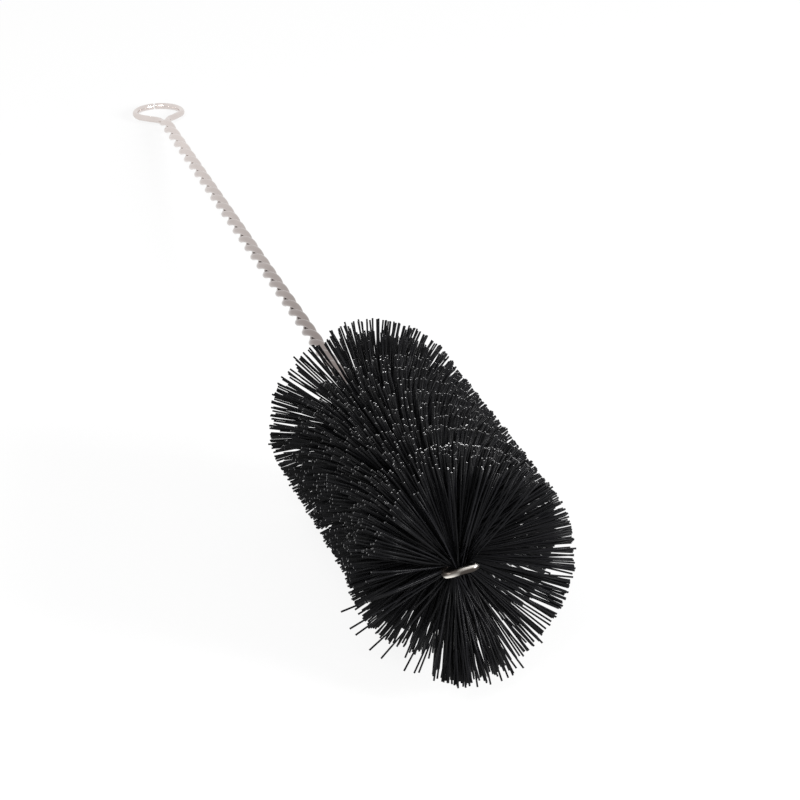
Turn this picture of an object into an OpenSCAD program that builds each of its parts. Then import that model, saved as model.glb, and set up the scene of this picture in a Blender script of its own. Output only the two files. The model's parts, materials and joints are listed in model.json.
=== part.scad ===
// Bottle brush. One steel wire is folded at the tip, its two legs are twisted together along
// the whole brush, and they open out into a hanging loop where the cut ends meet. Stiff
// filaments are gripped between the twisted legs, so they stand out as a two-sided spiral.
// The brush lies as it comes to rest, on the rear rim of its head and the end of its loop.

/* [Brush] */
// Length from the folded tip to the far side of the hanging loop
brush_len = 450; // [300:5:600]
// Diameter of the head over the bristle tips
head_d = 60; // [40:1:90]
// Length of the head over the bristle tips
head_len = 121; // [80:1:170]

/* [Wire] */
// Diameter of the drawn wire
wire_d = 2.3; // [1.6:0.1:2.8]
// Whole turns of twist between the fold and the loop
twist_turns = 22; // [14:1:28]
// Outside width of the fold at the tip
fold_w = 11; // [8:0.5:14]
// Radius of the bends at both ends of the fold
bend_r = 1.5; // [1.4:0.1:2.2]
// Angle through which the wire bends at both ends of the fold
bend_sweep = 152; // [120:1:155]
// Angle between the fold and the plane of the loop
fold_angle = 10; // [-45:1:45]
// Angle between the legs, where the twist starts, and the plane of the loop
start_angle = -17; // [-45:1:45]
// Distance by which the tip of the wire is bent off the axis
tip_bend = 2.8; // [0:0.1:4]
// Direction in which the tip of the wire is bent, seen from the tip
tip_bend_angle = 200; // [0:5:355]
// Length over which the tip of the wire is bent
tip_bend_len = 30; // [15:1:60]

/* [Loop] */
// Outside diameter of the hanging loop
loop_d = 20; // [16:0.5:32]
// Radius of the bends where the two legs open out into the loop
neck_r = 6; // [4:0.5:10]
// Gap between the cut ends of the wire at the back of the loop
end_gap = 0.6; // [0.3:0.1:2]

/* [Bristles] */
// Thickness of the layer of filaments gripped between the legs
grip_t = 0.8; // [0.5:0.1:1.4]
// Distance from the start of the twist to the first gripped filaments
grip_gap = 0.3; // [0:0.1:6]
// Distance by which the bristles at both ends of the head lean outwards
end_lean = 12; // [0:0.5:14]
// Distance by which they lean outwards on the upper side of the tip
top_lean = 2; // [0:0.5:14]
// Length at both ends of the head over which the bristles lean
lean_len = 14; // [8:0.5:20]
// Distance by which the bristles that the brush lies on are pressed in
rest_press = 0.7; // [0:0.1:1]
// Tufts on each side of the wire in one turn of the spiral
tufts_per_turn = 43; // [36:1:50]
// Width of a tuft at its tip, along the spiral
tuft_w = 2.2; // [0.8:0.1:2.6]
// Thickness of a tuft at its tip, along the brush
tuft_t = 1; // [0.6:0.1:1.6]

/* [Hidden] */

// Clearance between the two legs, and between each leg and the filaments
clearance = 0.15;
// Length over which the twist starts behind the fold and stops at the neck
twist_ease = 1.5;
// Length over which the legs close up behind the filaments
close_len = 10;

wire_sides = 8;
rings_per_turn = 8;
bend_rings = 7;
leg_rings = 4;
neck_rings = 4;
loop_rings = 12;

wire_r = wire_d / 2;
// The middle of a chord lies closer to the axis than the rings at its ends
chord_rise = 1 / cos(180 / rings_per_turn);
stem_r = (wire_r + clearance) * chord_rise;
grip_r = (grip_t / 2 + wire_r + clearance) * chord_rise;
fold_r = fold_w / 2 - wire_r;

// The loop is a circle of radius loop_r, joined to the legs by bends that touch both
loop_r = loop_d / 2 - wire_r;
loop_y = brush_len - loop_d / 2;
neck_y = loop_y - sqrt(pow(loop_r + neck_r, 2) - pow(stem_r + neck_r, 2));
neck_sweep = acos((stem_r + neck_r) / (loop_r + neck_r));
loop_start = neck_sweep - 90;
loop_sweep = 90 - loop_start - asin(end_gap / 2 / loop_r);

// The fold is a short bar. The wire bends back at its ends, to bend_out from the axis, and the
// legs come together behind it in a curve that goes on from the bends without a corner.
bar_r = fold_r - bend_r;
bend_out = bar_r + bend_r * sin(bend_sweep);
bend_y = wire_r + bend_r * (1 - cos(bend_sweep));
join_len = -2 * (bend_out - grip_r) * tan(bend_sweep);
twist_y = bend_y + join_len;

function smooth(u) = let (v = min(max(u, 0), 1)) v * v * (3 - 2 * v);
function mix(a, b, u) = a + (b - a) * u;

// Twist of the legs at a distance y from the tip, at an even rate between soft ends
twist_len = neck_y - twist_y;
twist_rate = (360 * twist_turns - start_angle) / (twist_len - twist_ease);
pitch = 360 / twist_rate;
function eased(u) =
    u < twist_ease ? u * u / 2 / twist_ease :
    u < twist_len - twist_ease ? u - twist_ease / 2 :
    twist_len - twist_ease - pow(twist_len - u, 2) / 2 / twist_ease;
function twist(y) =
    y < twist_y ? mix(fold_angle, start_angle, smooth((y - wire_r) / (twist_y - wire_r))) :
    start_angle + twist_rate * eased(y - twist_y);

// Distance of each leg from the axis: wide at the fold, apart where it grips, closed in the stem
grip_start = twist_y + grip_gap;
grip_len = head_len - 2 * end_lean;
grip_end = grip_start + grip_len;
function leg_r(y) =
    y < twist_y ? mix(grip_r, bend_out, pow((twist_y - y) / join_len, 2)) :
    mix(grip_r, stem_r, smooth((y - grip_end) / close_len));

function around(r, a, y) = [r * cos(a), y, r * sin(a)];
function bent(y) = around(tip_bend * (1 - smooth((y - wire_r) / tip_bend_len)), tip_bend_angle, 0);

// Half of the wire, from the middle of the fold to one cut end at the back of the loop
body_rings = ceil((neck_y - twist_y) / pitch * rings_per_turn);
bend_path = [for (i = [0:bend_rings])
    let (a = bend_sweep * i / bend_rings, y = wire_r + bend_r * (1 - cos(a)))
    around(bar_r + bend_r * sin(a), twist(y), y)];
leg_path = [for (i = [1:leg_rings])
    let (y = mix(bend_y, twist_y, i / leg_rings)) around(leg_r(y), twist(y), y)];
body_path = [for (i = [1:body_rings])
    let (y = mix(twist_y, neck_y, i / body_rings)) around(leg_r(y), twist(y), y)];
neck_path = [for (i = [1:neck_rings])
    let (a = neck_sweep * i / neck_rings)
    [stem_r + neck_r * (1 - cos(a)), neck_y + neck_r * sin(a), 0]];
loop_path = [for (i = [1:loop_rings])
    let (a = loop_start + loop_sweep * i / loop_rings)
    [loop_r * cos(a), loop_y + loop_r * sin(a), 0]];
half_path = concat([[0, wire_r, 0]], bend_path, leg_path, body_path, neck_path, loop_path);

// The other half is the same, turned half a turn about the axis, and the tip of both is bent
half_n = len(half_path);
wire_path = concat(
    [for (i = [half_n - 1:-1:1]) let (p = half_path[i]) [-p.x, p.y, -p.z] + bent(p.y)],
    [for (p = half_path) p + bent(p.y)]);
wire_n = len(wire_path);

// A tube along the path, whose section keeps from turning about the path as it goes
function unit(v) = v / norm(v);
function across(v, along) = unit(v - (v * along) * along);
along = [for (i = [0:wire_n - 1])
    unit(wire_path[min(i + 1, wire_n - 1)] - wire_path[max(i - 1, 0)])];
side = [for (i = 0, s = across([0, 0, 1], along[0]); i < wire_n;
    i = i + 1, s = i < wire_n ? across(s, along[i]) : s) s];
wire_points = [for (i = [0:wire_n - 1], k = [0:wire_sides - 1])
    let (a = 360 * k / wire_sides)
    wire_path[i] + wire_r * (cos(a) * side[i] + sin(a) * cross(along[i], side[i]))];
function wire_at(i, k) = i * wire_sides + k % wire_sides;
wire_faces = concat(
    [[for (k = [0:wire_sides - 1]) wire_at(0, k)]],
    [for (i = [0:wire_n - 2], k = [0:wire_sides - 1], half = [0, 1])
        half == 0 ? [wire_at(i, k), wire_at(i + 1, k), wire_at(i + 1, k + 1)] :
        [wire_at(i, k), wire_at(i + 1, k + 1), wire_at(i, k + 1)]],
    [[for (k = [wire_sides - 1:-1:0]) wire_at(wire_n - 1, k)]]);

// The gripped filaments are a twisted strip, cut across into cells. From both edges of every
// cell a tuft runs out to the tip circle. It lies along the legs at its root, and along the
// tip circle at its tip. The roots follow the bent wire, but the tips are cut to a cylinder.
cell_n = round(grip_len / pitch * tufts_per_turn);
cell_len = grip_len / cell_n;
cell_turn = cell_len * twist_rate;
// The tufts leave the strip level with the middle of the legs
root_r = grip_r;
tip_r = head_d / 2;
tip_len = tuft_w * cell_len / (tip_r * cell_turn * PI / 180);

function cell_y(i) = grip_start + cell_len * i;
function lean(y, s) = end_lean * (1 - smooth((grip_end - y) / lean_len))
    - (s == 0 ? top_lean : end_lean) * (1 - smooth((y - grip_start) / lean_len));
function tip_y(i, s) = cell_y(i) + lean(cell_y(i), s);
function fan(a, radial, tangential, y) =
    [radial * cos(a) - tangential * sin(a), y, radial * sin(a) + tangential * cos(a)];
// Direction of the filaments on one side of the wire, square to the line between the legs
function filament_angle(i, s) = twist(cell_y(i)) + 90 + 180 * s;

root_points = [for (i = [0:cell_n], s = [0, 1], t = [-1, 1])
    fan(filament_angle(i, s), root_r, t * grip_t / 2, cell_y(i)) + bent(cell_y(i))];
tip_points = [for (i = [0:cell_n - 1], s = [0, 1], e = [-1, 1], t = [-1, 1])
    fan(filament_angle(i + 0.5, s), tip_r, e * tuft_w / 2,
        tip_y(i + 0.5, s) + e * tip_len / 2 - t * tuft_t / 2)];
bristle_points = concat(root_points, tip_points);
root_n = len(root_points);
function root_at(i, s, t) = i * 4 + s * 2 + t;
function tip_at(i, s, e, t) = root_n + i * 8 + s * 4 + e * 2 + t;
function quad(a, b, c, d) = [[a, b, c], [a, c, d]];

function tuft_faces(i, s) = concat(
    quad(root_at(i, s, 0), root_at(i, s, 1), tip_at(i, s, 0, 1), tip_at(i, s, 0, 0)),
    quad(root_at(i, s, 1), root_at(i + 1, s, 1), tip_at(i, s, 1, 1), tip_at(i, s, 0, 1)),
    quad(root_at(i + 1, s, 1), root_at(i + 1, s, 0), tip_at(i, s, 1, 0), tip_at(i, s, 1, 1)),
    quad(root_at(i + 1, s, 0), root_at(i, s, 0), tip_at(i, s, 0, 0), tip_at(i, s, 1, 0)),
    quad(tip_at(i, s, 0, 0), tip_at(i, s, 0, 1), tip_at(i, s, 1, 1), tip_at(i, s, 1, 0)));
function strip_faces(i, s) =
    quad(root_at(i, s, 0), root_at(i + 1, s, 0), root_at(i + 1, 1 - s, 1), root_at(i, 1 - s, 1));
function strip_end(i) = quad(root_at(i, 0, 0), root_at(i, 1, 1), root_at(i, 1, 0), root_at(i, 0, 1));
bristle_faces = concat(
    [for (i = [0:cell_n - 1], s = [0, 1], f = concat(tuft_faces(i, s), strip_faces(i, s))) f],
    strip_end(0),
    [for (f = strip_end(cell_n)) [f[2], f[1], f[0]]]);

// At rest the end of the loop touches the ground, and so do the lowest bristles, which give way
// until the brush lies on a small flat patch of them
loop_end = brush_len - wire_r;
touch_tilt = max([for (p = bristle_points)
    atan2(-p.z, loop_end - p.y) - asin(wire_r / norm([p.z, loop_end - p.y]))]);
rest_tilt = touch_tilt - atan2(rest_press, loop_end - grip_end);
rest_lift = wire_r + loop_end * sin(rest_tilt);
ground_up = [0, -sin(rest_tilt), cos(rest_tilt)];
function pressed(p) = p - min(p * ground_up + rest_lift, 0) * ground_up;
pressed_points = [for (p = bristle_points) pressed(p)];
rest_ys = [for (p = concat(wire_points, pressed_points))
    p.y * cos(rest_tilt) + p.z * sin(rest_tilt)];
rest_mid = (min(rest_ys) + max(rest_ys)) / 2;

module at_rest() {
    translate([0, -rest_mid, rest_lift]) rotate([-rest_tilt, 0, 0]) children();
}

module wire() {
    color("silver") at_rest() polyhedron(wire_points, wire_faces, convexity = 10);
}

module bristles() {
    color("#18181b") at_rest() polyhedron(pressed_points, bristle_faces, convexity = 10);
}

wire();
bristles();
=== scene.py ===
import json
import math
import random

import bmesh
import bpy
from mathutils import Matrix, Vector, noise


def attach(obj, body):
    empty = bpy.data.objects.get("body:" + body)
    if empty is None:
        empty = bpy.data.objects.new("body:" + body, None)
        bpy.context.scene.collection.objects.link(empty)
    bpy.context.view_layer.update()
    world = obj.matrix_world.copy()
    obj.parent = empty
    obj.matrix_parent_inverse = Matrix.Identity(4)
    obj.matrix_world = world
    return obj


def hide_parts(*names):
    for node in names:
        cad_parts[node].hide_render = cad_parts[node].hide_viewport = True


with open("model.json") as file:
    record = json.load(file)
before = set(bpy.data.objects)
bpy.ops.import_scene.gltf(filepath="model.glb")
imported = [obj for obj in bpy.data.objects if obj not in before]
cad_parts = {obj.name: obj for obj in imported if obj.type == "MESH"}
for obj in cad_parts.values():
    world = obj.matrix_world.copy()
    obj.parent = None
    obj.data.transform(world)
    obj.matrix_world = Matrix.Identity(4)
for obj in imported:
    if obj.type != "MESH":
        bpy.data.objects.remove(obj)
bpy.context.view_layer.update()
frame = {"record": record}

# Wire. One length of bright drawn steel wire, folded in the middle at the tip. Its two legs
# are twisted together along the whole brush and open out into a hanging loop, where the cut
# ends meet. The brush is drawn in millimetres along its own axis and then laid in the frame.
MM = 0.001
BRUSH_LEN = 450
WIRE_R = 1.15
TWIST_TURNS = 22
TWIST_EASE = 1.5
TWIST_Y = 5.798
BAR_R = 2.85
BEND_R = 1.5
BEND_SWEEP = math.radians(152)
FOLD_ANGLE = 10
START_ANGLE = -17
TIP_BEND = 2.85
TIP_BEND_ANGLE = 203.5
TIP_BEND_LEN = 30
LOOP_R = 8.85
NECK_R = 6
END_GAP = 0.6
GRIP_START = 6.098
GRIP_END = 103.098
GRIP_R = 1.62
STEM_R = 1.19
CLOSE_LEN = 10
WIRE_SIDES = 16
STEPS_PER_TURN = 24
ARC_STEPS = 14
LOOP_STEPS = 44
END_BEVEL = 0.2

LOOP_Y = BRUSH_LEN - LOOP_R - WIRE_R
NECK_Y = LOOP_Y - math.sqrt((LOOP_R + NECK_R) ** 2 - (STEM_R + NECK_R) ** 2)
NECK_SWEEP = math.acos((STEM_R + NECK_R) / (LOOP_R + NECK_R))
TWIST_LEN = NECK_Y - TWIST_Y
TWIST_RATE = (360 * TWIST_TURNS - START_ANGLE) / (TWIST_LEN - TWIST_EASE)
BEND_OUT = BAR_R + BEND_R * math.sin(BEND_SWEEP)
BEND_Y = WIRE_R + BEND_R * (1 - math.cos(BEND_SWEEP))

# The loop's mount says where the loop lies and which way its plane faces
loop_mount = frame["record"]["mounts"][0]
up = Vector(loop_mount["axis"]).normalized()
right = Vector((1, 0, 0))
along = up.cross(right)
tip = Vector(loop_mount["pos_m"]) - along * LOOP_Y * MM
lay = Matrix.Translation(tip) @ Matrix((right, along, up)).transposed().to_4x4() @ Matrix.Scale(MM, 4)


def smooth(u):
    """Eases from 0 to 1 as u goes from 0 to 1."""
    u = min(max(u, 0), 1)
    return u * u * (3 - 2 * u)


def twist(y):
    """Angle of the line between the two legs at a distance y from the tip, in degrees."""
    u = y - TWIST_Y
    if u < 0:
        return FOLD_ANGLE + (START_ANGLE - FOLD_ANGLE) * smooth((y - WIRE_R) / (TWIST_Y - WIRE_R))
    if u < TWIST_EASE:
        turned = u * u / 2 / TWIST_EASE
    elif u < TWIST_LEN - TWIST_EASE:
        turned = u - TWIST_EASE / 2
    else:
        turned = TWIST_LEN - TWIST_EASE - (TWIST_LEN - u) ** 2 / 2 / TWIST_EASE
    return START_ANGLE + TWIST_RATE * turned


def leg_radius(y):
    """Distance of a leg from the axis: wide behind the fold, apart in the grip, closed in the stem."""
    if y < TWIST_Y:
        return GRIP_R + (BEND_OUT - GRIP_R) * ((TWIST_Y - y) / (TWIST_Y - BEND_Y)) ** 2
    return GRIP_R + (STEM_R - GRIP_R) * smooth((y - GRIP_END) / CLOSE_LEN)


def around(radius, degrees, y):
    """A point at a radius and angle about the axis."""
    angle = math.radians(degrees)
    return Vector((radius * math.cos(angle), y, radius * math.sin(angle)))


def bent(y):
    """How far the tip of the wire is bent off the axis at a distance y from it."""
    return around(TIP_BEND * (1 - smooth((y - WIRE_R) / TIP_BEND_LEN)), TIP_BEND_ANGLE, 0)


def half_wire():
    """Points from the middle of the fold along one leg to its cut end at the back of the loop."""
    points = [Vector((0, WIRE_R, 0))]
    for i in range(ARC_STEPS + 1):
        bend = BEND_SWEEP * i / ARC_STEPS
        y = WIRE_R + BEND_R * (1 - math.cos(bend))
        points.append(around(BAR_R + BEND_R * math.sin(bend), twist(y), y))
    for i in range(1, ARC_STEPS + 1):
        y = BEND_Y + (TWIST_Y - BEND_Y) * i / ARC_STEPS
        points.append(around(leg_radius(y), twist(y), y))
    body_steps = round(TWIST_LEN * TWIST_RATE / 360 * STEPS_PER_TURN)
    for i in range(1, body_steps + 1):
        y = TWIST_Y + TWIST_LEN * i / body_steps
        points.append(around(leg_radius(y), twist(y), y))
    for i in range(1, ARC_STEPS + 1):
        bend = NECK_SWEEP * i / ARC_STEPS
        x = STEM_R + NECK_R * (1 - math.cos(bend))
        points.append(Vector((x, NECK_Y + NECK_R * math.sin(bend), 0)))
    start = NECK_SWEEP - math.pi / 2
    end = math.pi / 2 - END_GAP / 2 / LOOP_R
    for i in range(1, LOOP_STEPS + 1):
        bend = start + (end - start) * i / LOOP_STEPS
        points.append(Vector((LOOP_R * math.cos(bend), LOOP_Y + LOOP_R * math.sin(bend), 0)))
    return points


one_leg = half_wire()
other_leg = [Vector((-p.x, p.y, -p.z)) for p in reversed(one_leg[1:])]
wire_path = [p + bent(p.y) for p in other_leg + one_leg]


def sweep(path, radius, sides):
    """A round bar drawn along a path. Its attribute drawn holds each point's place in the bar."""
    bm = bmesh.new()
    drawn = bm.verts.layers.float_vector.new("drawn")
    last = len(path) - 1
    heading = (path[1] - path[0]).normalized()
    turn = Vector((0, 0, 1)).rotation_difference(heading).to_matrix().to_4x4()
    place = Matrix.Translation(path[0]) @ turn
    ring = bmesh.ops.create_circle(bm, cap_ends=True, segments=sides, radius=radius)["verts"]
    for v in ring:
        v[drawn] = v.co
    bmesh.ops.transform(bm, matrix=place, verts=ring)
    edges = list(bm.edges)
    caps = list(edges)
    distance = 0
    for i in range(1, last + 1):
        new_heading = (path[min(i + 1, last)] - path[i - 1]).normalized()
        turn = heading.rotation_difference(new_heading).to_matrix().to_4x4() @ turn
        heading = new_heading
        new_place = Matrix.Translation(path[i]) @ turn
        distance += (path[i] - path[i - 1]).length
        made = bmesh.ops.extrude_edge_only(bm, edges=edges)["geom"]
        ring = [g for g in made if isinstance(g, bmesh.types.BMVert)]
        edges = [g for g in made if isinstance(g, bmesh.types.BMEdge)]
        bmesh.ops.transform(bm, matrix=new_place @ place.inverted(), verts=ring)
        for v in ring:
            v[drawn] = (v[drawn].x, v[drawn].y, distance)
        place = new_place
    caps += edges
    bmesh.ops.holes_fill(bm, edges=edges, sides=sides)
    bmesh.ops.bevel(bm, geom=caps, offset=END_BEVEL, segments=2, profile=0.5, affect="EDGES",
                    material=-1)
    bmesh.ops.recalc_face_normals(bm, faces=bm.faces)
    return bm


def finish_mesh(bm, name, materials):
    """Lays a mesh drawn in millimetres in the frame and makes it a smooth-shaded object."""
    bm.transform(lay)
    for face in bm.faces:
        face.smooth = True
    mesh = bpy.data.meshes.new(name)
    bm.to_mesh(mesh)
    bm.free()
    for material in materials:
        mesh.materials.append(material)
    piece = bpy.data.objects.new(name, mesh)
    bpy.context.collection.objects.link(piece)
    return piece


def linear(hex_colour):
    """Turns an sRGB hex colour into linear red, green, blue and alpha."""
    channels = [int(hex_colour[i:i + 2], 16) / 255 for i in (1, 3, 5)]
    return (*[c / 12.92 if c <= 0.04045 else ((c + 0.055) / 1.055) ** 2.4 for c in channels], 1)


def add_node(tree, kind, inputs=None, **settings):
    """Adds a node with its settings. An input is a value, or the output it is linked from."""
    made = tree.nodes.new(kind)
    for name, value in settings.items():
        setattr(made, name, value)
    for name, value in (inputs or {}).items():
        if isinstance(value, bpy.types.NodeSocket):
            tree.links.new(value, made.inputs[name])
        else:
            made.inputs[name].default_value = value
    return made


def new_material(name):
    """An empty node material with its output node."""
    material = bpy.data.materials.new(name)
    material.use_nodes = True
    material.node_tree.nodes.clear()
    return material, material.node_tree, add_node(material.node_tree, "ShaderNodeOutputMaterial")


# Bright drawn steel: the die leaves fine streaks along the wire, drawn here coarser than they
# are so that they show, and a film of drawing soap makes it a little warm and cloudy. It is
# darker towards the tip.
STREAK_WIDTH = 0.12
STREAK_LEN = 9.0
STREAK_DEPTH = 0.02
STREAK_ROUGH = (0.08, 0.16)
CLOUD = 6.0
DARKER_Y = (100, 400)
steel, tree, out = new_material("bright_drawn_steel")
drawn = add_node(tree, "ShaderNodeAttribute", attribute_name="drawn").outputs["Vector"]
streak_place = add_node(tree, "ShaderNodeMapping", {
    "Vector": drawn, "Scale": (1 / STREAK_WIDTH, 1 / STREAK_WIDTH, 1 / STREAK_LEN)}).outputs["Vector"]
streaks = add_node(tree, "ShaderNodeTexNoise", {
    "Vector": streak_place, "Scale": 1, "Detail": 3, "Roughness": 0.6}).outputs["Fac"]
clouds = add_node(tree, "ShaderNodeTexNoise", {
    "Vector": drawn, "Scale": 1 / CLOUD, "Detail": 2}).outputs["Fac"]
steel_place = add_node(tree, "ShaderNodeTexCoord").outputs["Object"]
steel_y = add_node(tree, "ShaderNodeSeparateXYZ", {"Vector": steel_place}).outputs["Y"]
lighter_share = add_node(tree, "ShaderNodeMapRange", {
    "Value": steel_y, "From Min": tip.y + DARKER_Y[0] * MM, "From Max": tip.y + DARKER_Y[1] * MM})
darker_steel = add_node(tree, "ShaderNodeMix", {
    "Factor": clouds, "A": linear("#594f4d"), "B": linear("#786d6a")}, data_type="RGBA")
lighter_steel = add_node(tree, "ShaderNodeMix", {
    "Factor": clouds, "A": linear("#d0c7c3"), "B": linear("#e3dad6")}, data_type="RGBA")

# The fold's colour carries painted reflections: a painted highlight on the upper side of its right half
# and on the lower side of its left half, where the lamps and the floor would show, and painted shade on
# the rest, where the black bristles would show. The rest is also rougher.
FOLD_Y = (1.8, 3)
FOLD_HALF = 5.5
FOLD_TILT = -30
HIGHLIGHT_SHIFT = -0.8
HIGHLIGHT_RANGE = (-0.03, 0.3)
FOLD_ROUGH = (0.3, 0.08)
fold_middle = Vector((0, WIRE_R, 0)) + bent(WIRE_R) + around(HIGHLIGHT_SHIFT, FOLD_ANGLE, 0)
fold_turn = Matrix.Rotation(math.radians(-FOLD_ANGLE), 3, "Y")
fold_turn = fold_turn @ Matrix.Rotation(math.radians(FOLD_TILT), 3, "X")
fold_place = add_node(tree, "ShaderNodeMapping", {
    "Vector": steel_place, "Location": lay @ fold_middle, "Rotation": fold_turn.to_euler(),
    "Scale": (FOLD_HALF * MM, WIRE_R * MM, WIRE_R * MM)}, vector_type="TEXTURE").outputs["Vector"]
fold_xyz = add_node(tree, "ShaderNodeSeparateXYZ", {"Vector": fold_place}).outputs
# Painted highlight: the product of X and Z is high on the upper right and the lower left of the fold
highlight_sides = add_node(tree, "ShaderNodeMath", {0: fold_xyz["X"], 1: fold_xyz["Z"]}, operation="MULTIPLY")
painted_highlight = add_node(tree, "ShaderNodeMapRange", {
    "Value": highlight_sides.outputs["Value"], "From Min": HIGHLIGHT_RANGE[0], "From Max": HIGHLIGHT_RANGE[1]})
# The fold's colour, from painted shade (dark) to a painted highlight (near white)
fold_painted_steel = add_node(tree, "ShaderNodeMix", {
    "Factor": painted_highlight.outputs["Result"], "A": linear("#46413d"), "B": linear("#fffaf2")},
    data_type="RGBA")
fold_rough = add_node(tree, "ShaderNodeMapRange", {
    "Value": painted_highlight.outputs["Result"], "To Min": FOLD_ROUGH[0], "To Max": FOLD_ROUGH[1]})
folded = add_node(tree, "ShaderNodeMapRange", {
    "Value": steel_y, "From Min": tip.y + FOLD_Y[0] * MM, "From Max": tip.y + FOLD_Y[1] * MM})
tip_steel = add_node(tree, "ShaderNodeMix", {
    "Factor": folded.outputs["Result"], "A": fold_painted_steel.outputs["Result"],
    "B": darker_steel.outputs["Result"]}, data_type="RGBA")
steel_colour = add_node(tree, "ShaderNodeMix", {
    "Factor": lighter_share.outputs["Result"], "A": tip_steel.outputs["Result"],
    "B": lighter_steel.outputs["Result"]}, data_type="RGBA")
streak_rough = add_node(tree, "ShaderNodeMapRange", {
    "Value": streaks, "From Min": 0.3, "From Max": 0.7,
    "To Min": STREAK_ROUGH[0], "To Max": STREAK_ROUGH[1]})
steel_rough = add_node(tree, "ShaderNodeMix", {
    "Factor": folded.outputs["Result"], "A": fold_rough.outputs["Result"],
    "B": streak_rough.outputs["Result"]}, data_type="FLOAT")
steel_bump = add_node(tree, "ShaderNodeBump", {
    "Height": streaks, "Strength": 0.1, "Distance": STREAK_DEPTH * MM})
steel_shader = add_node(tree, "ShaderNodeBsdfPrincipled", {
    "Base Color": steel_colour.outputs["Result"], "Metallic": 1,
    "Roughness": steel_rough.outputs["Result"], "Normal": steel_bump.outputs["Normal"]})
tree.links.new(steel_shader.outputs["BSDF"], out.inputs["Surface"])

wire = finish_mesh(sweep(wire_path, WIRE_R, WIRE_SIDES), "twisted_wire", [steel])
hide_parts("wire")
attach(wire, "root")

# Bristles. Straight black nylon filaments, gripped at their middles between the two legs and
# fanned out by the twist into a two-sided spiral, then trimmed to a cylinder. They bunch into
# small locks, lean outwards at the ends of the head, and a few at the tip stand out singly.
HEAD_R = 30
FILAMENT_R = 0.28
FILAMENT_SIDES = 5
FILAMENT_CUTS = 5
FILAMENTS = 1350
FRONT_FILAMENTS = 300
FRONT_LEN = (1.5, 22)
REAR_FILAMENTS = 150
REAR_FILL = 14
GRIP_T = 0.8
BATCH = 100
draw = random.Random(7)

# Leans along the brush. The front ones fade out over a stretch behind the start of the grip.
END_LEAN = 12
END_LEAN_Y = (GRIP_END - 20, GRIP_END)
TOP_LEAN = -4
TOP_LEAN_Y = (GRIP_START, GRIP_START + 3)
UNDER_LEAN = -8.8
UNDER_LEAN_Y = (GRIP_START + 4, GRIP_START + 15)
TIP_LEAN = -4
TIP_LEAN_Y = (GRIP_START, GRIP_START + 2.5)

# Locks a few degrees wide, in larger bunches. They line up from one row to the next, and the
# bunches are strongest at the front.
LOCK_ANGLE = 3.8
LOCK_LEN = 22
LOCK_TURN = 2.2
LOCK_SHIFT = 0.8
SHIFT_SEED = 9.3
BUNCH_ANGLE = 12
BUNCH_TURN = 1.8
BUNCH_SEED = 4.4
FRONT_TURN = 3

# Chance. The left side is looser than the right, the rear end is ruffled and fans back to one
# plane, and a few filaments are bent aside or cut short.
TURN_SPREAD = 0.8
SHIFT_SPREAD = 0.5
TRIM_SPREAD = 0.25
BOW_SPREAD = 0.4
LOOSE_EDGE = 0.2
LOOSE_TURN = 2.5
LOOSE_SHIFT = 3
REAR_Y = (GRIP_END - 8, GRIP_END)
REAR_TURN = 8
REAR_SHIFT = 1.5
REAR_TIP = 114
REAR_TIP_Y = (GRIP_END - 13, GRIP_END - 7)
REAR_TIP_POWER = 0.7
WILD_SHARE = 0.02
WILD_TURN = 6
WILD_SHIFT = 2
SHORT_SHARE = 0.05
SHORT_CUT = (0.5, 4)

# At the front, the first upper tips spread back into a band, and the lowest ones stick out past
# the trimmed cylinder, in the first half turn and again half a turn later.
TOP_SPREAD = 9
TOP_SPREAD_Y = ((GRIP_START, GRIP_START + 1.5), (GRIP_START + 4, GRIP_START + 8))
FRONT_REACH = 1.2
FRONT_REACH_Y = (8.5, 10)
LOW_REACH = 2
LOW_REACH_Y = ((11, 14), (17, 19))


def filament_template():
    """A straight filament along Z from -1 to 1, with rings to bend it at and flat cut ends."""
    bm = bmesh.new()
    bmesh.ops.create_cone(bm, cap_ends=True, segments=FILAMENT_SIDES, radius1=FILAMENT_R,
                          radius2=FILAMENT_R, depth=2)
    long_edges = [e for e in bm.edges if abs(e.verts[0].co.z - e.verts[1].co.z) > 1]
    bmesh.ops.subdivide_edges(bm, edges=long_edges, cuts=FILAMENT_CUTS)
    for face in bm.faces:
        if abs(face.normal.z) > 0.5:
            face.material_index = 1
    mesh = bpy.data.meshes.new("filament_template")
    bm.to_mesh(mesh)
    bm.free()
    return mesh


def rise(y, stretch):
    """Eases from 0 to 1 as y goes along a stretch of the brush."""
    return smooth((y - stretch[0]) / (stretch[1] - stretch[0]))


def lean(y, side):
    """How far a bristle leans: forwards at the tip, most underneath, and back at the rear."""
    rear = END_LEAN * rise(y, END_LEAN_Y)
    if side == 0:
        return rear + TOP_LEAN * (1 - rise(y, TOP_LEAN_Y))
    front = UNDER_LEAN * (1 - rise(y, UNDER_LEAN_Y))
    return rear + front + TIP_LEAN * (1 - rise(y, TIP_LEAN_Y))


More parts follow.
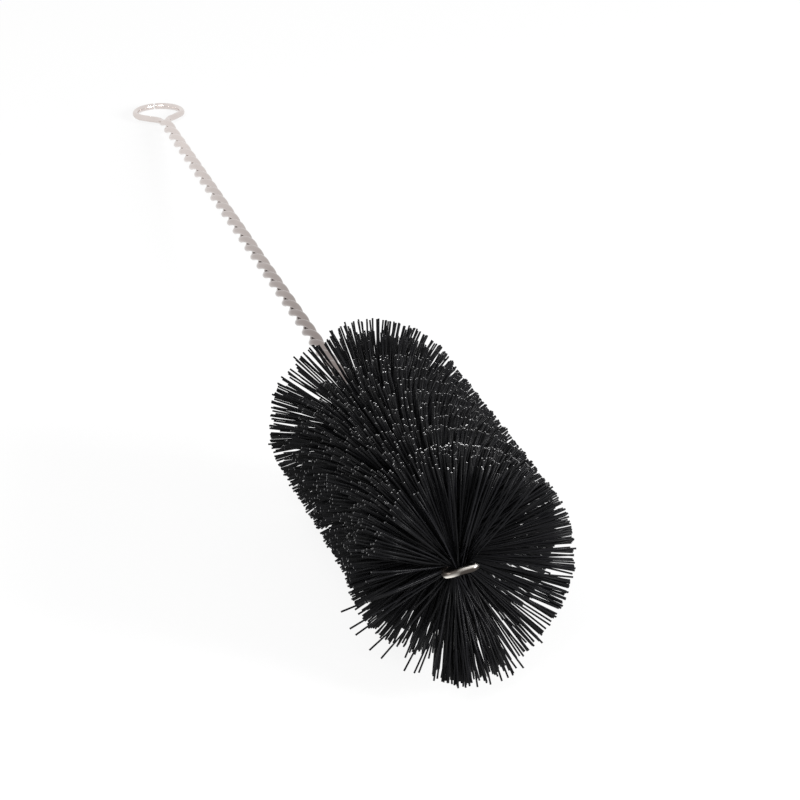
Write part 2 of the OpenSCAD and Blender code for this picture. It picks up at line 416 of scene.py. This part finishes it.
def half_bristle(y, side, reach):
    """Tip of one half of a filament: its place in the spiral, in its lock, and by chance."""
    angle = twist(y) + 90 + 180 * side
    lock = around(math.degrees(1) / LOCK_ANGLE, angle, y / LOCK_LEN)
    bunch = around(math.degrees(1) / BUNCH_ANGLE, angle, y / LOCK_LEN + BUNCH_SEED)
    rear = rise(y, REAR_Y)
    loose = smooth(LOOSE_EDGE - math.cos(math.radians(angle)))
    front = 1 - smooth((y - GRIP_START) / FRONT_LEN[1])
    turn = LOCK_TURN * noise.noise(lock) + (BUNCH_TURN + FRONT_TURN * front) * noise.noise(bunch)
    turn += draw.gauss(0, TURN_SPREAD + LOOSE_TURN * loose + REAR_TURN * rear)
    tip_y = y + lean(y, side) + LOCK_SHIFT * noise.noise(lock + Vector((0, SHIFT_SEED, 0)))
    tip_y += draw.gauss(0, SHIFT_SPREAD + LOOSE_SHIFT * loose + REAR_SHIFT * rear)
    tip_y += (REAR_TIP - tip_y) * rise(y, REAR_TIP_Y) * draw.random() ** REAR_TIP_POWER
    if draw.random() < WILD_SHARE:
        turn += draw.gauss(0, WILD_TURN)
        tip_y += draw.gauss(0, WILD_SHIFT)
    if side == 0:
        band = rise(y, TOP_SPREAD_Y[0]) * (1 - rise(y, TOP_SPREAD_Y[1]))
        tip_y += TOP_SPREAD * draw.random() * band
        reach += LOW_REACH * rise(y, LOW_REACH_Y[0]) * (1 - rise(y, LOW_REACH_Y[1]))
    else:
        reach += FRONT_REACH * (1 - rise(y, FRONT_REACH_Y))
    reach += draw.gauss(0, TRIM_SPREAD)
    if draw.random() < SHORT_SHARE:
        reach -= draw.uniform(*SHORT_CUT)
    return around(reach, angle + turn, tip_y)


def root_at(y, offset):
    """A point of the bent wire's middle, at an offset towards one leg."""
    return Vector((0, y, 0)) + bent(y) + around(offset, twist(y), 0)


def add_filament(bm, template, tone_layer, root, tips):
    """Copies the straight filament, bends it through the grip to its tips and keeps it above the floor."""
    headings = [(end - root).normalized() for end in tips]
    turns = [heading.to_track_quat("Z", "Y").to_matrix() for heading in headings]
    bows = [Vector([draw.gauss(0, BOW_SPREAD) for _ in range(3)]) for _ in range(2)]
    tone = draw.random()
    bm.from_mesh(template)
    for v in list(bm.verts)[-len(template.vertices):]:
        side = 0 if v.co.z >= 0 else 1
        t = abs(v.co.z)
        v[tone_layer] = tone
        across = turns[side] @ Vector((v.co.x, v.co.y, 0))
        v.co = root.lerp(tips[side], t) + bows[side] * t * (1 - t) * 4 + across
        v.co.z -= min((lay @ v.co).z, 0) / MM


# Strays: single filaments that stand out at the lower left of the tip. Their other halves are
# short, and hide in the head.
STRAY_ROOT = (5.0, 6.0)
STRAY_ANGLES = (193, 202, 206, 216, 223, 236, 241, 243, 250)
STRAY_REACH = (37, 32.5)
STRAY_OTHER = 27
STRAY_TIP_Y = 1
template = filament_template()
places = []
for i, angle in enumerate(STRAY_ANGLES):
    u = i / (len(STRAY_ANGLES) - 1)
    y = STRAY_ROOT[0] + (STRAY_ROOT[1] - STRAY_ROOT[0]) * u
    reach = STRAY_REACH[0] + (STRAY_REACH[1] - STRAY_REACH[0]) * u
    places.append((root_at(y, 0), (half_bristle(y, 0, STRAY_OTHER), around(reach, angle, STRAY_TIP_Y))))

# The eye behind the fold: filaments side by side between the legs, which fan out more the
# nearer they are to a leg. Angles are in degrees, and tips are places along the brush.
EYE_FILAMENTS = 75
EYE_Y = (2.8, 6.1)
EYE_HALF = (2.2, 0.2)
EYE_CLOSE_Y = (3, TWIST_Y)
EYE_UP = 97
EYE_UP_FAN = (75, 42)
EYE_UP_SPREAD = 6
EYE_UP_TIP = (-4, 9)
EYE_DOWN = 268
EYE_DOWN_FAN = 20
EYE_DOWN_SPREAD = 2.5
EYE_DOWN_TIP = (-9, 3)
for _ in range(EYE_FILAMENTS):
    y = draw.uniform(*EYE_Y)
    offset = draw.uniform(-1, 1)
    half = EYE_HALF[1] + (EYE_HALF[0] - EYE_HALF[1]) * (1 - rise(y, EYE_CLOSE_Y))
    turned = EYE_UP - EYE_UP_FAN[offset > 0] * offset + draw.gauss(0, EYE_UP_SPREAD)
    upper = around(HEAD_R + draw.gauss(0, TRIM_SPREAD), turned, draw.uniform(*EYE_UP_TIP))
    reach = HEAD_R + FRONT_REACH + draw.gauss(0, TRIM_SPREAD)
    turned = EYE_DOWN + EYE_DOWN_FAN * offset + draw.gauss(0, EYE_DOWN_SPREAD)
    lower = around(reach, turned, draw.uniform(*EYE_DOWN_TIP))
    places.append((root_at(y, offset * half), (upper, lower)))

# A few filaments lie over the left leg behind the fold, and hide it from the front
OVER_FILAMENTS = 16
OVER_Y = (3.3, 4.0)
OVER_OFFSET = (-2, -1)
OVER_RAISE = (0.2, 0.7)
OVER_UP = (138, 190)
OVER_UP_TIP = (-7, -1)
OVER_DOWN = (262, 300)
OVER_DOWN_TIP = -8
OVER_DOWN_SPREAD = 1
for _ in range(OVER_FILAMENTS):
    y = draw.uniform(*OVER_Y)
    root = root_at(y, draw.uniform(*OVER_OFFSET)) + Vector((0, 0, draw.uniform(*OVER_RAISE)))
    reach = HEAD_R + draw.gauss(0, TRIM_SPREAD)
    upper = around(reach, draw.uniform(*OVER_UP), draw.uniform(*OVER_UP_TIP))
    reach = HEAD_R + draw.gauss(0, TRIM_SPREAD)
    lower = around(reach, draw.uniform(*OVER_DOWN), draw.gauss(OVER_DOWN_TIP, OVER_DOWN_SPREAD))
    places.append((root, (upper, lower)))

# The spiral runs from the tip to the rear end of the head, closer at both ends, with a thin
# sector at the lower right of the tip
THIN_SHARE = 0.4
THIN_ANGLES = (280, 336)
THIN_END = 32
GRIP_LEN = GRIP_END - GRIP_START
spiral = [GRIP_START + draw.uniform(*FRONT_LEN) for _ in range(FRONT_FILAMENTS)]
spiral += [GRIP_END - REAR_FILL * draw.random() for _ in range(REAR_FILAMENTS)]
spiral += [GRIP_START + GRIP_LEN * (i + draw.random()) / FILAMENTS for i in range(FILAMENTS)]
for y in spiral:
    angle = (twist(y) - THIN_ANGLES[0] + 90) % 180
    if y < THIN_END and angle < THIN_ANGLES[1] - THIN_ANGLES[0] and draw.random() < THIN_SHARE:
        continue
    offset = draw.uniform(-1, 1) * (GRIP_T / 2 - FILAMENT_R)
    places.append((root_at(y, offset), (half_bristle(y, 0, HEAD_R), half_bristle(y, 1, HEAD_R))))

# The filaments are copied in batches, which is quicker than one by one into the whole head
head = bmesh.new()
head.verts.layers.float.new("tone")
for start in range(0, len(places), BATCH):
    batch = bmesh.new()
    tone_layer = batch.verts.layers.float.new("tone")
    for root, tips in places[start:start + BATCH]:
        add_filament(batch, template, tone_layer, root, tips)
    batch_mesh = bpy.data.meshes.new("bristle_batch")
    batch.to_mesh(batch_mesh)
    batch.free()
    head.from_mesh(batch_mesh)
    bpy.data.meshes.remove(batch_mesh)
bpy.data.meshes.remove(template)

# Black nylon filament: extruded and stretched, so it is smooth with a satin sheen along its
# length. Each filament has its own black, and a few are glossy enough to show as fine lines.
GLOSS_POWER = 3
NYLON_ROUGH = (0.36, 0.1)
NYLON_SPECULAR = 0.055
nylon, tree, out = new_material("black_nylon_filament")
tone = add_node(tree, "ShaderNodeAttribute", attribute_name="tone").outputs["Fac"]
nylon_colour = add_node(tree, "ShaderNodeMix", {
    "Factor": tone, "A": linear("#0d0d0e"), "B": linear("#141416")}, data_type="RGBA")
gloss = add_node(tree, "ShaderNodeMath", {0: tone, 1: GLOSS_POWER}, operation="POWER")
nylon_rough = add_node(tree, "ShaderNodeMapRange", {
    "Value": gloss.outputs["Value"], "To Min": NYLON_ROUGH[0], "To Max": NYLON_ROUGH[1]})
nylon_shader = add_node(tree, "ShaderNodeBsdfPrincipled", {
    "Base Color": nylon_colour.outputs["Result"], "Specular IOR Level": NYLON_SPECULAR,
    "Roughness": nylon_rough.outputs["Result"]})
tree.links.new(nylon_shader.outputs["BSDF"], out.inputs["Surface"])

# Cut nylon: the blade leaves the trimmed ends flat, shiny and a little paler than the sides, so
# they catch the light as rows of dots. A fine grain makes some of them paler than others.
GRAIN = 0.5
CUT_SPECULAR = 0.8
CUT_ROUGH = 0.15
cut, tree, out = new_material("cut_nylon_end")
cut_grain = add_node(tree, "ShaderNodeTexNoise", {
    "Vector": add_node(tree, "ShaderNodeTexCoord").outputs["Object"],
    "Scale": 1 / (GRAIN * MM), "Detail": 1}).outputs["Fac"]
cut_colour = add_node(tree, "ShaderNodeMix", {
    "Factor": cut_grain, "A": linear("#161618"), "B": linear("#2c2c2e")}, data_type="RGBA")
cut_shader = add_node(tree, "ShaderNodeBsdfPrincipled", {
    "Base Color": cut_colour.outputs["Result"], "Specular IOR Level": CUT_SPECULAR,
    "Roughness": CUT_ROUGH})
tree.links.new(cut_shader.outputs["BSDF"], out.inputs["Surface"])

bristles = finish_mesh(head, "bristle_head", [nylon, cut])
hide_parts("bristles")
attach(bristles, "root")

# Floor. A wide sheet of white paper under the brush. It glows where the camera or a reflection
# looks at it, which makes it nearly white and leaves a soft shadow. Its fibres are drawn coarser
# than they are.
FLOOR_HALF = 4.0
FLOOR_GLOW = 0.85
FIBRE = 2.5
bm = bmesh.new()
bmesh.ops.create_grid(bm, x_segments=1, y_segments=1, size=FLOOR_HALF)
floor_mesh = bpy.data.meshes.new("paper_floor")
bm.to_mesh(floor_mesh)
bm.free()
floor = bpy.data.objects.new("paper_floor", floor_mesh)
bpy.context.collection.objects.link(floor)
paper, tree, out = new_material("white_paper")
fibre = add_node(tree, "ShaderNodeTexNoise", {
    "Vector": add_node(tree, "ShaderNodeTexCoord").outputs["Object"],
    "Scale": 1 / (FIBRE * MM), "Detail": 2}).outputs["Fac"]
paper_colour = add_node(tree, "ShaderNodeMix", {
    "Factor": fibre, "A": linear("#f6f6f6"), "B": linear("#fcfcfc")}, data_type="RGBA")
paper_shader = add_node(tree, "ShaderNodeBsdfDiffuse", {"Color": paper_colour.outputs["Result"]})
glow = add_node(tree, "ShaderNodeEmission", {"Color": (1, 1, 1, 1), "Strength": 1})
ray = add_node(tree, "ShaderNodeLightPath").outputs
seen = add_node(tree, "ShaderNodeMath", {
    0: ray["Is Camera Ray"], 1: ray["Is Glossy Ray"]}, operation="MAXIMUM")
share = add_node(tree, "ShaderNodeMath", {
    0: seen.outputs["Value"], 1: FLOOR_GLOW}, operation="MULTIPLY")
paper_mix = add_node(tree, "ShaderNodeMixShader", {
    "Fac": share.outputs["Value"], 1: paper_shader.outputs["BSDF"], 2: glow.outputs["Emission"]})
tree.links.new(paper_mix.outputs["Shader"], out.inputs["Surface"])
floor_mesh.materials.append(paper)

# Light. A soft box overhead at the front left, one behind the brush, which lights up the cut
# ends and is kept off the wire, and one at the front right, which draws the sheen lines. The
# room is an even white, at full strength only where the camera or a reflection looks at it.
ROOM_LIGHT = 0.5
scene = bpy.context.scene
scene.view_settings.view_transform = "Standard"
world = bpy.data.worlds.new("white_room")
scene.world = world
world.use_nodes = True
tree = world.node_tree
tree.nodes.clear()
out = add_node(tree, "ShaderNodeOutputWorld")
ray = add_node(tree, "ShaderNodeLightPath").outputs
seen = add_node(tree, "ShaderNodeMath", {
    0: ray["Is Camera Ray"], 1: ray["Is Glossy Ray"]}, operation="MAXIMUM")
seen = add_node(tree, "ShaderNodeMath", {
    0: seen.outputs["Value"], 1: ray["Is Transmission Ray"]}, operation="MAXIMUM")
strength = add_node(tree, "ShaderNodeMapRange", {
    "Value": seen.outputs["Value"], "To Min": ROOM_LIGHT, "To Max": 1})
room = add_node(tree, "ShaderNodeBackground", {
    "Color": (1, 1, 1, 1), "Strength": strength.outputs["Result"]})
tree.links.new(room.outputs["Background"], out.inputs["Surface"])
head_middle = lay @ Vector((0, (GRIP_START + GRIP_END) / 2, 0))


def soft_box(name, offset, width, power):
    """A square area lamp, at an offset from the middle of the head in metres, that faces it."""
    lamp = bpy.data.lights.new(name, "AREA")
    lamp.shape = "RECTANGLE"
    lamp.size = lamp.size_y = width
    lamp.energy = power
    box = bpy.data.objects.new(name, lamp)
    box.location = head_middle + Vector(offset)
    box.rotation_euler = (head_middle - box.location).to_track_quat("-Z", "Y").to_euler()
    bpy.context.collection.objects.link(box)
    return box


soft_box("top_box", offset=(-0.5, -0.6, 0.9), width=0.6, power=9)
back_box = soft_box("back_box", offset=(0.45, 1.2, 0.33), width=0.6, power=12)
back_lit = bpy.data.collections.new("back_lit")
back_lit.objects.link(bristles)
back_box.light_linking.receiver_collection = back_lit
soft_box("side_box", offset=(0.95, -0.7, 0.45), width=0.45, power=24)

# Camera. It looks down on the tip from a little to its left, through a long lens. Turns and
# rises are in degrees, and its distance from the tip is in metres.
CAMERA_TURN = -16.204
CAMERA_RISE = 29.276
CAMERA_DISTANCE = 0.90607
AIM_TURN = -14.813
AIM_RISE = 26.438
LENS = 152.08
SENSOR_WIDTH = 36
CLIP_START = 0.05
lens = bpy.data.cameras.new("camera")
lens.lens = LENS
lens.sensor_width = SENSOR_WIDTH
lens.clip_start = CLIP_START
camera = bpy.data.objects.new("camera", lens)
turn = math.radians(CAMERA_TURN)
rise_angle = math.radians(CAMERA_RISE)
level = math.cos(rise_angle)
back = Vector((math.sin(turn) * level, -math.cos(turn) * level, math.sin(rise_angle)))
camera.location = tip + back * CAMERA_DISTANCE
camera.rotation_euler = (math.radians(90 - AIM_RISE), 0, math.radians(AIM_TURN))
bpy.context.collection.objects.link(camera)
scene.camera = camera
